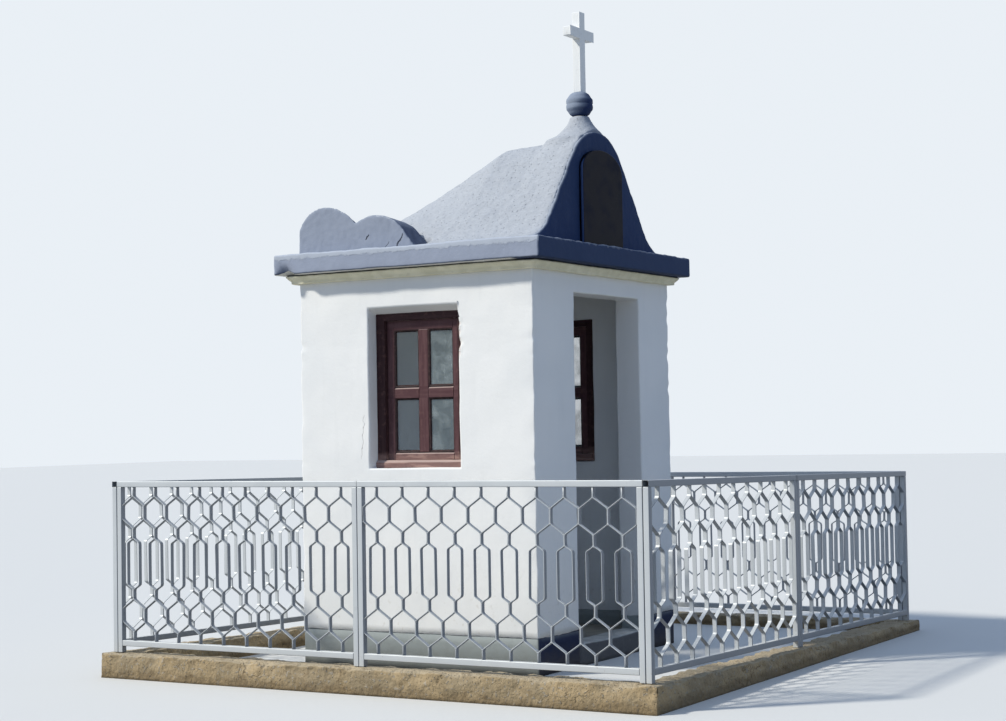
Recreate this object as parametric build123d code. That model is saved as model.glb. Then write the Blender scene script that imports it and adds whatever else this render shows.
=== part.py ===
from build123d import *
from math import asin, atan2, cos, hypot, sin
import os

# A wayside chapel shrine of lime-rendered masonry, with its railing and kerb.
# Millimetres, +Z up. The door faces -Y. The origin is on the ground, under the middle
# of the railed plot. Heights are taken from the lowest ground, at the foot of the kerb.

# Body of the shrine
house_x = 1712          # outside, along the door wall
house_y = 1762          # outside, along the window walls
house_at_x = -118       # middle of the house, from the middle of the plot
house_at_y = 263
wall = 180
plinth_top = 220
eaves = 2470            # top of the walls, underside of the roof slab

# Doorway in the front wall
door_width = 830
door_off_centre = 30
door_head = 2298
sill_top = 138
floor_top = 125

# Window in each side wall
window_width = 682
window_bottom = 1235
window_head = 2236      # top of the opening in the outer wall face
window_splay = 35       # how far the head of the opening comes down to the window
window_depth = 83       # from the outer wall face to the window frame
frame_bar = 65
frame_head = 46
frame_deep = 70
sash_setback = 27       # face of the sash behind the face of its frame
sash_deep = 32
sash_stile = 53
sash_top = 60
sash_bottom = 49
mullion = 72
transom = 70
transom_at = 1703       # height of the middle of the transom
glass_setback = 15      # behind the face of the sash
glass_thick = 4
sill_board = 47
sill_nose = 18          # in front of the face of the frame
sill_inside = 15        # past the inner face of the wall
right_window_off = 45   # how much nearer the door the +X window sits

# Cornice moulding under the slab
cornice_step = 28
cornice_lower = 36
cornice_upper = 60

# Roof slab and the cement roof on it
slab_over = 118         # how far the slab stands out past the walls
slab_thick = 130
crown_radius = 365
foot_radius = 300
gable_rise = 752        # slab top to the crown of the gable
ridge_rise = 706        # slab top to the ridge behind the gable
roof_over = 6           # foot of the cement roof past the side walls
roof_lip = 10
gable_setback = 26      # gable face behind the face of the front wall
gable_thick = 70
gable_flare = 260       # length over which the roof comes down from the gable to its ridge
ridge_end = 640         # from the front wall face to where the ridge starts to fall
tail_rise = 70          # what is left of the roof's height at the back edge

# Tablet on the gable
tablet_width = 500
tablet_spring = 484     # slab top to where the arched head starts
tablet_arch = 140
tablet_thick = 30

# Neck, ball and cross
finial_setback = 160    # from the front wall face to the axis of the ball
neck_radius = 60
neck_flare = 225        # radius at the height of the ridge
ball_radius = 87
ball_flat = 76          # half the height of the ball between its flats
ball_rise = 937         # slab top to the centre of the ball
cross_bar = 58
cross_rise = 1532       # slab top to the top of the cross
arm_drop = 140          # from the top of the cross to the middle of the arm
arm_span = 284

# Lobed parapets at the back half of each side
parapet_thick = 200
parapet_length = 908
parapet_points = (      # from the rear edge, height at the outer face, height at the inner face
    (0, 165, 80),
    (66, 252, 100),
    (233, 302, 125),
    (359, 259, 120),
    (445, 178, 130),
    (607, 221, 190),
    (812, 117, 100),
)

# Kerb and railing
kerb_top = 150
kerb_width = 190
kerb_outside = 55       # kerb face outside the railing
plot_fall = 78          # how much lower the kerb is along the +X side
panel_front = 1884      # panels along the door side and the back
panel_side = 1831
panel_joint = 3         # open joint between the end tubes of two panels
rail_height = 1040      # kerb top to the top of the rail
tube = 35
tube_wall = 2
foot_gap = 40           # kerb top to the underside of the bottom rail
columns = 10
flat_deep = 25          # flat bar, across the panel
flat_thick = 4
stub = 0.060            # shares of the height between the rails, from a rail inwards
slant = 0.060
post_long = 0.089
post_short = 0.065
fork = 0.029
fork_spread = 0.27      # half the width of the long cells, as a share of the pitch

slab_top = eaves + slab_thick
front = -house_y / 2
back = house_y / 2
side = house_x / 2
door_left = door_off_centre - door_width / 2
door_right = door_off_centre + door_width / 2
roof_half = side + roof_over
front_length = 2 * panel_front + panel_joint
side_length = 2 * panel_side + panel_joint
plot_x = front_length / 2
plot_y = side_length / 2 + panel_joint + tube
slope = plot_fall / front_length
kerb_low = kerb_top - slope * (front_length - tube)   # level kerb under the +X railing


def block(x0, x1, y0, y1, z0, z1):
    """A square-edged block between two corners."""
    return Pos((x0 + x1) / 2, (y0 + y1) / 2, (z0 + z1) / 2) * Box(x1 - x0, y1 - y0, z1 - z0)


def polygon(points):
    """A flat face with straight edges, in XY."""
    return make_face(Polyline(*points, close=True))


def stand(face):
    """Turn a face drawn in XY upright, so that its Y becomes Z and it faces -Y."""
    return Rot(90, 0, 0) * face


# Walls of the house

def plinth():
    """Footing course, flush with the walls, in five lengths around the doorway."""
    inner = side - wall
    return {
        "plinth_left": block(-side, -inner, front, back, 0, plinth_top),
        "plinth_right": block(inner, side, front, back, 0, plinth_top),
        "plinth_back": block(-inner, inner, back - wall, back, 0, plinth_top),
        "plinth_front_left": block(-inner, door_left, front, front + wall, 0, plinth_top),
        "plinth_front_right": block(door_right, inner, front, front + wall, 0, plinth_top),
        "door_sill": block(door_left, door_right, front, front + wall, 0, sill_top),
        "floor_slab": block(-inner, inner, front + wall, back - wall, 0, floor_top),
    }


def front_wall():
    """Two piers and the lintel over the open doorway."""
    return {
        "front_pier_left": block(-side, door_left, front, front + wall, plinth_top, eaves),
        "front_pier_right": block(door_right, side, front, front + wall, plinth_top, eaves),
        "door_lintel": block(door_left, door_right, front, front + wall, door_head, eaves),
    }


def window_wall(sign):
    """Side wall with its window opening cut through; sign is -1 on the -X side."""
    outer = sign * side
    inner = sign * (side - wall)
    low, high = sorted((outer, inner))
    half = window_width / 2
    head = window_head - window_splay
    y = 0 if sign < 0 else -right_window_off
    body = block(low, high, front + wall, back, plinth_top, eaves)
    splay = stand(polygon([(outer, head), (outer, window_head), (outer - sign * window_depth, head)]))
    body -= block(low, high, y - half, y + half, window_bottom, head)
    return body - Pos(0, y, 0) * extrude(splay, half, both=True)


def back_wall():
    """Plain wall between the two side walls."""
    inner = side - wall
    return block(-inner, inner, back - wall, back, plinth_top, eaves)


# Windows, drawn on the -X side and mirrored for the other

def window_lights():
    """Middle and size of the four lights of the sash: (y, z, width, height)."""
    width = window_width / 2 - frame_bar - sash_stile - mullion / 2
    across = (mullion + width) / 2
    bottom = window_bottom + sill_board + sash_bottom
    top = window_head - window_splay - frame_head - sash_top
    lights = []
    for low, high in ((bottom, transom_at - transom / 2), (transom_at + transom / 2, top)):
        for y in (-across, across):
            lights.append((y, (low + high) / 2, width, high - low))
    return lights


def window_frame():
    """Box frame of two stiles and a head, standing on the sill board."""
    x0 = -side + window_depth
    x1 = x0 + frame_deep
    half = window_width / 2
    low = window_bottom + sill_board
    top = window_head - window_splay
    outside = block(x0, x1, -half, half, low, top)
    return outside - block(x0, x1, frame_bar - half, half - frame_bar, low, top - frame_head)


def window_sash():
    """Fixed sash with a mullion and a transom, set back in the frame."""
    x0 = -side + window_depth + sash_setback
    half = window_width / 2 - frame_bar
    low = window_bottom + sill_board
    top = window_head - window_splay - frame_head
    sash = block(x0, x0 + sash_deep, -half, half, low, top)
    for y, z, w, h in window_lights():
        sash -= Pos(x0 + sash_deep / 2, y, z) * Box(sash_deep, w, h)
    return sash


def window_panes():
    """One pane of glass in each light."""
    x0 = -side + window_depth + sash_setback + glass_setback
    panes = []
    for y, z, w, h in window_lights():
        panes.append(Pos(x0 + glass_thick / 2, y, z) * Box(glass_thick, w, h))
    return Compound(children=panes)


def window_sill():
    """Board across the opening under the frame, with a nose outside and one inside."""
    x0 = -side + window_depth - sill_nose
    x1 = -side + wall + sill_inside
    half = window_width / 2
    return block(x0, x1, -half, half, window_bottom, window_bottom + sill_board)


# Cornice, slab and roof

def cornice(reach, run):
    """One mitred length of the moulding; reach is to the wall face, run is half its length."""
    top = eaves
    mid = top - cornice_step
    low = mid - cornice_step
    cove = cornice_upper - cornice_lower
    outline = [
        Line((0, low), (cornice_lower, low)),
        Line((cornice_lower, low), (cornice_lower, mid - cove / 2)),
        Line((cornice_lower, mid - cove / 2), (cornice_upper, mid + cove / 2)),
        Line((cornice_upper, mid + cove / 2), (cornice_upper, top)),
        Line((cornice_upper, top), (0, top)),
        Line((0, top), (0, low)),
    ]
    profile = stand(make_face(outline))
    length = run + cornice_upper
    bar = extrude(Pos(reach, length, 0) * profile, 2 * length, dir=(0, -1, 0))
    for end in (-1, 1):
        corner = polygon([
            (reach, end * run),
            (reach + cornice_upper, end * length),
            (reach + cornice_upper, end * 2 * length),
            (reach, end * 2 * length),
        ])
        bar -= extrude(Pos(0, 0, low) * corner, top - low)
    return bar


def roof_slab():
    """Flat slab that ends in the deep fascia all round."""
    return block(-side - slab_over, side + slab_over, front - slab_over, back + slab_over,
                 eaves, slab_top)


def bell(rise, squash=1):
    """Bell outline on the slab: round crown, straight flanks, hollow foot."""
    both = crown_radius + foot_radius
    lean = both - (rise - roof_lip)
    angle = asin(both / hypot(roof_half, lean)) - atan2(lean, roof_half)
    half = angle / 2
    crown = (crown_radius * sin(angle), rise - crown_radius * (1 - cos(angle)))
    foot = (roof_half - foot_radius * sin(angle), roof_lip + foot_radius * (1 - cos(angle)))
    hollow = (roof_half - foot_radius * sin(half), roof_lip + foot_radius * (1 - cos(half)))

    def at(point, sign):
        return (sign * point[0], squash * point[1])

    top = (0, squash * rise)
    lip = (roof_half, roof_lip)
    edges = [ThreePointArc(at(crown, -1), top, at(crown, 1))]
    for sign in (-1, 1):
        edges.append(Line(at(crown, sign), at(foot, sign)))
        edges.append(ThreePointArc(at(foot, sign), at(hollow, sign), at(lip, sign)))
        edges.append(Line(at(lip, sign), (sign * roof_half, 0)))
    edges.append(Line((-roof_half, 0), (roof_half, 0)))
    return make_face(edges)


def front_gable():
    """Bell-shaped gable wall that stands on the slab over the door."""
    y0 = front + gable_setback
    return extrude(Pos(0, y0, slab_top) * stand(bell(gable_rise)), gable_thick, dir=(0, 1, 0))


def tablet():
    """Bare tablet with an arched head, fixed on the face of the gable."""
    field = Pos(0, tablet_spring / 2) * Rectangle(tablet_width, tablet_spring)
    head = Pos(0, tablet_spring) * Ellipse(tablet_width / 2, tablet_arch)
    y0 = front + gable_setback - tablet_thick
    return extrude(Pos(0, y0, slab_top) * stand(field + head), tablet_thick, dir=(0, 1, 0))


def roof_body():
    """Cement roof: level with the gable at first, then a level ridge that falls to the back."""
    start = front + gable_setback + gable_thick
    ridge_start = start + gable_flare
    middle = front + ridge_end
    end = back + slab_over - roof_lip

    def section(y, face):
        return Pos(0, y, slab_top) * stand(face)

    ridge = section(ridge_start, bell(ridge_rise))
    tail = section(end, bell(ridge_rise, tail_rise / ridge_rise))
    roof = loft([section(start, bell(gable_rise)), ridge], ruled=True)
    roof += extrude(ridge, middle - ridge_start, dir=(0, 1, 0))
    roof += loft([section(middle, bell(ridge_rise)), tail], ruled=True)
    roof += neck()
    roof -= front_gable()
    top = slab_top + ridge_rise
    for sign in (-1, 1):
        inner, outer = sorted((sign * (side - parapet_thick), sign * (side + slab_over)))
        roof -= block(inner, outer, back - parapet_length, back + slab_over, slab_top, top)
    return roof


def neck():
    """Short neck under the ball that flares out over the crown of the roof."""
    top = ball_rise - ball_flat
    knee = (neck_flare, ridge_rise)
    waist = (neck_radius + (neck_flare - neck_radius) * 0.27, (top + ridge_rise) / 2)
    skirt = (crown_radius * 0.8, ridge_rise - crown_radius / 2)
    outline = [
        ThreePointArc((neck_radius, top), waist, knee),
        Line(knee, skirt),
        Line(skirt, (0, skirt[1])),
        Line((0, skirt[1]), (0, top)),
        Line((0, top), (neck_radius, top)),
    ]
    flare = revolve(stand(make_face(outline)), Axis.Z)
    flare = Pos(0, front + finial_setback, slab_top) * flare
    face = front + gable_setback
    return flare & block(-side, side, face, back, slab_top, slab_top + cross_rise)


def ball():
    """Faceted round ball, flat where the neck and the cross meet it."""
    top = ball_radius * cos(asin(ball_flat / ball_radius))
    outline = [
        (0, -ball_flat),
        (top, -ball_flat),
        (ball_radius, -ball_radius * 0.42),
        (ball_radius, ball_radius * 0.42),
        (top, ball_flat),
        (0, ball_flat),
    ]
    solid = revolve(stand(polygon(outline)), Axis.Z)
    return Pos(0, front + finial_setback, slab_top + ball_rise) * solid


def cross():
    """Plain cross of square bar; the arm runs along the front."""
    y = front + finial_setback
    foot = slab_top + ball_rise + ball_flat
    top = slab_top + cross_rise
    half = cross_bar / 2
    upright = block(-half, half, y - half, y + half, foot, top)
    arm_z = top - arm_drop
    arm = block(-arm_span / 2, arm_span / 2, y - half, y + half, arm_z - half, arm_z + half)
    return upright + arm


def parapet_face(x, heights):
    """Outline of two lobes in the plane at x, falling straight to its toe."""
    rear = -back
    points = [(rear + at[0], height) for at, height in zip(parapet_points, heights)]
    foot = (rear, 0)
    toe = (rear + parapet_length, 0)
    outline = [
        Line(foot, points[0]),
        ThreePointArc(points[0], points[1], points[2]),
        ThreePointArc(points[2], points[3], points[4]),
        ThreePointArc(points[4], points[5], points[6]),
        Line(points[6], toe),
        Line(toe, foot),
    ]
    return Pos(x, 0, slab_top) * Rot(0, 0, -90) * stand(make_face(outline))


def parapet(sign):
    """Low wall with two lobes over the back half of a side wall, sloping down inwards."""
    outer = parapet_face(sign * side, [point[1] for point in parapet_points])
    inner = parapet_face(sign * (side - parapet_thick), [point[2] for point in parapet_points])
    return loft([outer, inner], ruled=True)


# Kerb and railing

def kerb():
    """Concrete kerb around the plot; the front and back lengths fall with the ground."""
    x = plot_x + kerb_outside
    y = plot_y + kerb_outside
    end = kerb_top - plot_fall
    profile = stand(polygon([(-x, 0), (x, 0), (x, end), (plot_x, end),
                             (-plot_x, kerb_top), (-x, kerb_top)]))
    run = y - kerb_width
    return {
        "kerb_front": extrude(Pos(0, -y, 0) * profile, kerb_width, dir=(0, 1, 0)),
        "kerb_back": extrude(Pos(0, y - kerb_width, 0) * profile, kerb_width, dir=(0, 1, 0)),
        "kerb_left": block(-x, kerb_width - x, -run, run, 0, kerb_top),
        "kerb_right": block(x - kerb_width, x, -run, run, 0, kerb_low),
    }


def inset(corners):
    """Corners (x, y, gap) of an opening, each side moved in by the gap given at its start."""
    sides = []
    for (x0, y0, gap), (x1, y1, _) in zip(corners, corners[1:] + corners[:1]):
        length = hypot(x1 - x0, y1 - y0)
        nx, ny = (y0 - y1) / length, (x1 - x0) / length
        sides.append((nx, ny, nx * x0 + ny * y0 + gap))
    points = []
    for (a, b, c), (d, e, f) in zip(sides[-1:] + sides[:-1], sides):
        area = a * e - b * d
        points.append(((c * e - b * f) / area, (a * f - c * d) / area))
    return points


def lattice_openings(width, height):
    """Openings between the flat bars; y runs down from the top rail."""
    pitch = width / columns
    half = pitch / 2
    spread = fork_spread * pitch
    a = stub * height
    b = a + slant * height
    c = b + post_long * height
    d = c + slant * height
    e = d + post_short * height
    f = e + fork * height
    one = flat_thick / 2
    two = flat_thick
    upper = []
    long = []
    for k in range(columns + 1):
        x = k * pitch
        right = [(x, c, one), (x + half, d, two), (x + half, e, one), (x + half - spread, f, one)]
        down = [(x + half - spread, height - f, one), (x + half, height - e, two),
                (x + half, height - d, one)]
        left = [(x, height - c, one), (x - half, height - d, two), (x - half, height - e, one),
                (x - half + spread, height - f, one)]
        up = [(x - half + spread, f, one), (x - half, e, two), (x - half, d, one)]
        upper.append([(x - half, -tube, 0), (x + half, -tube, two), (x + half, a, one),
                      (x, b, one), (x - half, a, two)])
        long.append(right + down + left + up)
    for k in range(columns):
        x = (k + 0.5) * pitch
        upper.append([(x, a, one), (x + half, b, two), (x + half, c, one),
                      (x, d, one), (x - half, c, two), (x - half, b, one)])
        long.append([(x, e, one), (x + spread, f, one), (x + spread, height - f, one),
                     (x, height - e, one), (x - spread, height - f, one), (x - spread, f, one)])
    upper = [inset(corners) for corners in upper]
    lower = [[(x, height - y) for x, y in points] for points in upper]
    return upper + lower + [inset(corners) for corners in long]


def panel(end, fall):
    """Railing panel of that length, square tube with a flat bar lattice; its rails fall."""
    def sheet(points, deep):
        fallen = [(x, z - fall * x) for x, z in points]
        return extrude(stand(polygon(fallen)), deep / 2, both=True)

    def upright(x):
        outer = [(x, 0), (x + tube, 0), (x + tube, under), (x, under)]
        inner = [(x + tube_wall, 0), (x + tube - tube_wall, 0),
                 (x + tube - tube_wall, under), (x + tube_wall, under)]
        return sheet(outer, tube) - sheet(inner, tube - 2 * tube_wall)

    under = rail_height - tube
    rail_in = [(0, under + tube_wall), (end, under + tube_wall),
               (end, rail_height - tube_wall), (0, rail_height - tube_wall)]
    top = sheet([(0, under), (end, under), (end, rail_height), (0, rail_height)], tube)
    top -= sheet(rail_in, tube - 2 * tube_wall)
    floor = foot_gap + tube
    bottom = sheet([(tube, foot_gap), (end - tube, foot_gap), (end - tube, floor), (tube, floor)],
                   tube)
    width = end - 2 * tube
    height = under - floor
    field = sheet([(tube, floor), (end - tube, floor), (end - tube, under), (tube, under)],
                  flat_deep)
    holes = []
    for points in lattice_openings(width, height):
        holes.append(sheet([(tube + x, under - y) for x, y in points], 2 * flat_deep))
    return top + upright(0) + upright(end - tube) + bottom + (field - holes)


def railing():
    """Two panels on each side of the plot; the front and back ones follow the fall."""
    level = panel(panel_side, 0)
    falling = panel(panel_front, slope)
    line_x = plot_x - tube / 2
    line_y = plot_y - tube / 2
    pieces = {}
    for i in range(2):
        run = i * (panel_front + panel_joint)
        x = run - plot_x
        y = i * (panel_side + panel_joint) - side_length / 2
        z = kerb_top - slope * run
        pieces[f"railing_front_{i + 1}"] = Pos(x, -line_y, z) * falling
        pieces[f"railing_back_{i + 1}"] = Pos(x, line_y, z) * falling
        pieces[f"railing_left_{i + 1}"] = Pos(-line_x, y, kerb_top) * Rot(0, 0, 90) * level
        pieces[f"railing_right_{i + 1}"] = Pos(line_x, y, kerb_low) * Rot(0, 0, 90) * level
    return pieces


def house():
    """Every piece of the shrine itself, round its own middle."""
    pieces = plinth() | front_wall()
    pieces["left_wall"] = window_wall(-1)
    pieces["right_wall"] = window_wall(1)
    pieces["back_wall"] = back_wall()
    window = {
        "window_frame": window_frame(),
        "window_sash": window_sash(),
        "window_panes": window_panes(),
        "window_sill": window_sill(),
    }
    for name, solid in window.items():
        pieces["left_" + name] = solid
        pieces["right_" + name] = Pos(0, -right_window_off, 0) * mirror(solid, about=Plane.YZ)
    long_y = cornice(side, house_y / 2)
    long_x = cornice(house_y / 2, side)
    pieces["cornice_right"] = long_y
    pieces["cornice_left"] = Rot(0, 0, 180) * long_y
    pieces["cornice_back"] = Rot(0, 0, 90) * long_x
    pieces["cornice_front"] = Rot(0, 0, -90) * long_x
    pieces["roof_slab"] = roof_slab()
    pieces["roof_body"] = roof_body()
    pieces["front_gable"] = front_gable()
    pieces["gable_tablet"] = tablet()
    pieces["finial_ball"] = ball()
    pieces["cross"] = cross()
    pieces["parapet_left"] = parapet(-1)
    pieces["parapet_right"] = parapet(1)
    return {name: Pos(house_at_x, house_at_y, 0) * solid for name, solid in pieces.items()}


nodes = house() | kerb() | railing()
os.makedirs("parts", exist_ok=True)
for name, solid in nodes.items():
    export_step(solid, f"parts/{name}.step")
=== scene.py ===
import bmesh
import bpy
from math import cos, hypot, pi, radians, sin
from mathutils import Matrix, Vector, noise
from random import Random


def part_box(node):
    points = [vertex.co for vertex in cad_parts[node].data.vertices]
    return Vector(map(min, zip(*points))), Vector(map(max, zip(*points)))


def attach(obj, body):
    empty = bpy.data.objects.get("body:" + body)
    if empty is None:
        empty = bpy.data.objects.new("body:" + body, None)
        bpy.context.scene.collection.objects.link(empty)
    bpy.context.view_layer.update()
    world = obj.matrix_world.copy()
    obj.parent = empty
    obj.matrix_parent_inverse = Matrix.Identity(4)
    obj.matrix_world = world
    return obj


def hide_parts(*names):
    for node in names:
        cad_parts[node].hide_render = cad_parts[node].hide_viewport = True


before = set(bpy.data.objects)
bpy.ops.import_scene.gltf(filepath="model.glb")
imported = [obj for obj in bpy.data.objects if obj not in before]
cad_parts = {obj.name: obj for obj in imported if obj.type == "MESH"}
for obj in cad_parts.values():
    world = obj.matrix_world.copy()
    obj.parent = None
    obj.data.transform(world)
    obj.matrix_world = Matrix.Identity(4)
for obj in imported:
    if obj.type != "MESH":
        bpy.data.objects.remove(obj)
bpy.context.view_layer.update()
scene = bpy.context.scene
noise.seed_set(11)

# Kerb: a ring of concrete cast between boards, whose top falls with the ground to one side.
# Its faces are pitted and its edges broken, and earth is splashed up its foot.


class Shade:
    """A shader socket: sums on it add Math nodes, and node adds any other node."""

    def __init__(self, tree, socket=None):
        self.tree = tree
        self.socket = socket

    def node(self, kind, values, output=0, **settings):
        made = self.tree.nodes.new(kind)
        for name, value in settings.items():
            setattr(made, name, value)
        for name, value in values.items():
            if isinstance(value, Shade):
                self.tree.links.new(value.socket, made.inputs[name])
            else:
                made.inputs[name].default_value = value
        return Shade(self.tree, made.outputs[output])

    def maths(self, operation, *values):
        return self.node("ShaderNodeMath", dict(enumerate(values)), operation=operation)

    def __add__(self, other):
        return self.maths("ADD", self, other)

    def __sub__(self, other):
        return self.maths("SUBTRACT", self, other)

    def __rsub__(self, other):
        return self.maths("SUBTRACT", other, self)

    def __mul__(self, other):
        return self.maths("MULTIPLY", self, other)

    def __abs__(self):
        return self.maths("ABSOLUTE", self)

    __radd__ = __add__
    __rmul__ = __mul__


def tint(red, green, blue, share=1):
    """Linear colour of a shade given as 0 to 255, or of a share of it."""
    return (*[(value * share / 255) ** 2.2 for value in (red, green, blue)], 1)


def grain(shade, size, detail=4, stretch=(1, 1, 1)):
    """Noise from 0 to 1 with patches of about that size in metres, fixed to the object."""
    place = shade.node("ShaderNodeTexCoord", {}, "Object")
    place = shade.node("ShaderNodeMapping", {"Vector": place, "Scale": stretch})
    return shade.node("ShaderNodeTexNoise", {"Vector": place, "Scale": 1 / size, "Detail": detail})


def along(shade, axis):
    """Place of the surface along an axis, in metres."""
    place = shade.node("ShaderNodeTexCoord", {}, "Object")
    return shade.node("ShaderNodeSeparateXYZ", {"Vector": place}, axis)


def facing(shade, axis):
    """How far the surface faces along an axis, from -1 to 1."""
    normal = shade.node("ShaderNodeNewGeometry", {}, "Normal")
    return shade.node("ShaderNodeSeparateXYZ", {"Vector": normal}, axis)


def step(value, low, high):
    """0 up to low, 1 from high, and smooth between."""
    ends = {"Value": value, "From Min": low, "From Max": high}
    return value.node("ShaderNodeMapRange", ends, interpolation_type="SMOOTHSTEP")


def mix(share, first, second):
    """The first colour, going over to the second as the share goes to 1."""
    return share.node("ShaderNodeMix", {0: share, 6: first, 7: second}, 2, data_type="RGBA")


def coat(colour, *layers):
    """A colour under layers, each given as its share and its red, green and blue from 0 to 255."""
    for share, *shade in layers:
        colour = mix(share, colour, tint(*shade))
    return colour


def finish(build, gloss=0.5, metal=0):
    """Material whose colour, roughness, relief in metres and, for glass, cover come from a function."""
    made = bpy.data.materials.new(build.__name__)
    made.use_nodes = True
    surface = made.node_tree.nodes["Principled BSDF"]
    surface.inputs["Specular IOR Level"].default_value = gloss
    surface.inputs["Metallic"].default_value = metal
    shade = Shade(made.node_tree)
    colour, roughness, relief, *cover = build(shade)
    bump = shade.node("ShaderNodeBump", {"Height": relief, "Distance": 1, "Strength": 1}, "Normal")
    sockets = ("Base Color", "Roughness", "Normal", "Alpha")
    for value, socket in zip((colour, roughness, bump, *cover), sockets):
        made.node_tree.links.new(value.socket, surface.inputs[socket])
    return made


def block(low, high, mesh=None):
    """Box between two corners, as a mesh of its own or added to another."""
    if mesh is None:
        mesh = bmesh.new()
    for point in bmesh.ops.create_cube(mesh, size=1)["verts"]:
        point.co = [a + (c + 0.5) * (b - a) for a, b, c in zip(low, high, point.co)]
    return mesh


def shape(mesh):
    """Loose object with that mesh, for a modifier."""
    data = bpy.data.meshes.new("work")
    mesh.to_mesh(data)
    mesh.free()
    thing = bpy.data.objects.new("work", data)
    scene.collection.objects.link(thing)
    return thing


def settled(thing):
    """Mesh of a loose object after its modifiers; the object itself goes."""
    result = bmesh.new()
    result.from_object(thing, bpy.context.evaluated_depsgraph_get())
    bpy.data.objects.remove(thing)
    return result


def carve(mesh, *tools):
    """Cut closed meshes out of another, one after the other."""
    for tool in tools:
        body = shape(mesh)
        knife = shape(tool)
        cut = body.modifiers.new("cut", "BOOLEAN")
        cut.object = knife
        cut.solver = "EXACT"
        mesh = settled(body)
        bpy.data.objects.remove(knife)
    return mesh


def soften(mesh, width, keep=None, segments=3):
    """Round the sharp edges, apart from those that keep picks out."""
    mesh.normal_update()
    sharp = []
    for edge in mesh.edges:
        if edge.is_manifold and edge.calc_face_angle(0) > 0.5 and not (keep and keep(edge)):
            sharp.append(edge)
    bmesh.ops.bevel(mesh, geom=sharp, offset=width, segments=segments, profile=0.5, affect="EDGES")
    return mesh


def cut_at(mesh, axis, places):
    """Cut every face along planes across an axis."""
    normal = [0, 0, 0]
    normal[axis] = 1
    for place in places:
        point = [0, 0, 0]
        point[axis] = place
        everything = mesh.verts[:] + mesh.edges[:] + mesh.faces[:]
        bmesh.ops.bisect_plane(mesh, geom=everything, plane_co=point, plane_no=normal, dist=1e-5)


def cut_up(mesh, spacing, axes=(0, 1, 2)):
    """Cut a mesh into small faces, so that noise has points to move."""
    for axis in axes:
        ends = [v.co[axis] for v in mesh.verts]
        low, high = min(ends), max(ends)
        count = max(1, round((high - low) / spacing))
        cut_at(mesh, axis, [low + (high - low) * i / count for i in range(1, count)])


def push(mesh, *layers):
    """Move the points by layers of noise (depth, size, start), fixed to the object, but not below 0."""
    for point in mesh.verts:
        for depth, size, start in layers:
            point.co += depth * noise.noise_vector(point.co / size + Vector((start, 0, 0)))
            point.co.z = max(point.co.z, 0)


def piece(name, mesh, material, slot, *nodes):
    """Make a mesh a piece of the object, in place of its nodes."""
    bmesh.ops.remove_doubles(mesh, verts=mesh.verts, dist=1e-6)
    bmesh.ops.recalc_face_normals(mesh, faces=mesh.faces)
    thing = shape(mesh)
    thing.name = name
    thing.data.name = name
    thing.data.materials.append(material)
    thing.data.shade_smooth()
    thing.modifiers.new("even_shading", "WEIGHTED_NORMAL").keep_sharp = True
    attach(thing, "root")
    if nodes:
        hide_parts(*nodes)


def kerb_concrete(shade):
    z = along(shade, "Z")
    hollow = step(grain(shade, 0.060, 6), 0.54, 0.68)
    pits = step(grain(shade, 0.010, 3), 0.62, 0.74)
    sand = grain(shade, 0.004, 3)
    stones = step(grain(shade, 0.020, 1), 0.62, 0.67)
    veins = grain(shade, 0.20, 6) - 0.5
    cracks = (1 - step(abs(veins), 0.002, 0.016)) * step(grain(shade, 0.25), 0.54, 0.60)
    splash = step(grain(shade, 0.09) * 0.10 + 0.020 - z, 0.0, 0.05)
    dusty = step(facing(shade, "Z"), 0.4, 0.9)
    colour = mix(step(grain(shade, 0.24, 5), 0.38, 0.62), tint(151, 135, 108), tint(172, 151, 117))
    colour = coat(colour, (stones * 0.45, 172, 168, 160), (dusty * 0.5, 190, 178, 155),
                  (hollow * 0.40, 112, 95, 70), (step(sand, 0.50, 0.70) * 0.38, 98, 82, 60),
                  (pits * 0.65, 76, 62, 42), (cracks * 0.35, 92, 77, 58), (splash * 0.6, 112, 95, 70))
    relief = grain(shade, 0.030, 6) * 0.014 + sand * 0.0020
    relief = relief - pits * 0.006 - cracks * 0.004 + stones * 0.002
    return colour, 0.88 + splash * 0.08, relief


def weathered(point):
    """Wear the kerb's arrises off and break its faces back, into the concrete."""
    gaps = [point.co.x - kerb_outer.x, kerb_far.x - point.co.x,
            point.co.y - kerb_outer.y, kerb_far.y - point.co.y]
    gap = min(gaps)
    side = gaps.index(gap)
    inwards = Vector(((1, 0, 0), (-1, 0, 0), (0, 1, 0), (0, -1, 0))[side])
    if gap > kerb_width / 2:
        inwards = -inwards
        gap = kerb_width - gap
    rim = max(0, 1 - hypot(gap, kerb_high - point.co.z) / worn_reach)
    lost = max(0, noise.noise(point.co / 0.11) + 0.30) + 0.5 * max(0, noise.noise(point.co / 0.035))
    point.co += (inwards * 0.8 - Vector((0, 0, 0.6))) * worn_depth * rim * lost
    if gap < face_depth:
        point.co += inwards * 0.006 * abs(noise.noise(point.co / 0.05))
        layer = Vector((point.co.x / 0.12, point.co.y / 0.12, point.co.z / 0.060))
        point.co += inwards * 0.014 * max(0, noise.noise(layer) + 0.5 * noise.noise(layer * 2.3))


sides = ("front", "back", "left", "right")
kerb_nodes = ["kerb_" + side for side in sides]
kerb_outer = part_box("kerb_front")[0]
kerb_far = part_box("kerb_back")[1]
kerb_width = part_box("kerb_left")[1].x - kerb_outer.x
kerb_high = kerb_far.z
kerb_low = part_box("kerb_right")[1].z
kerb_grid = 0.017
kerb_round = 0.008
worn_reach = 0.07
worn_depth = 0.034
face_depth = 0.03

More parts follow.
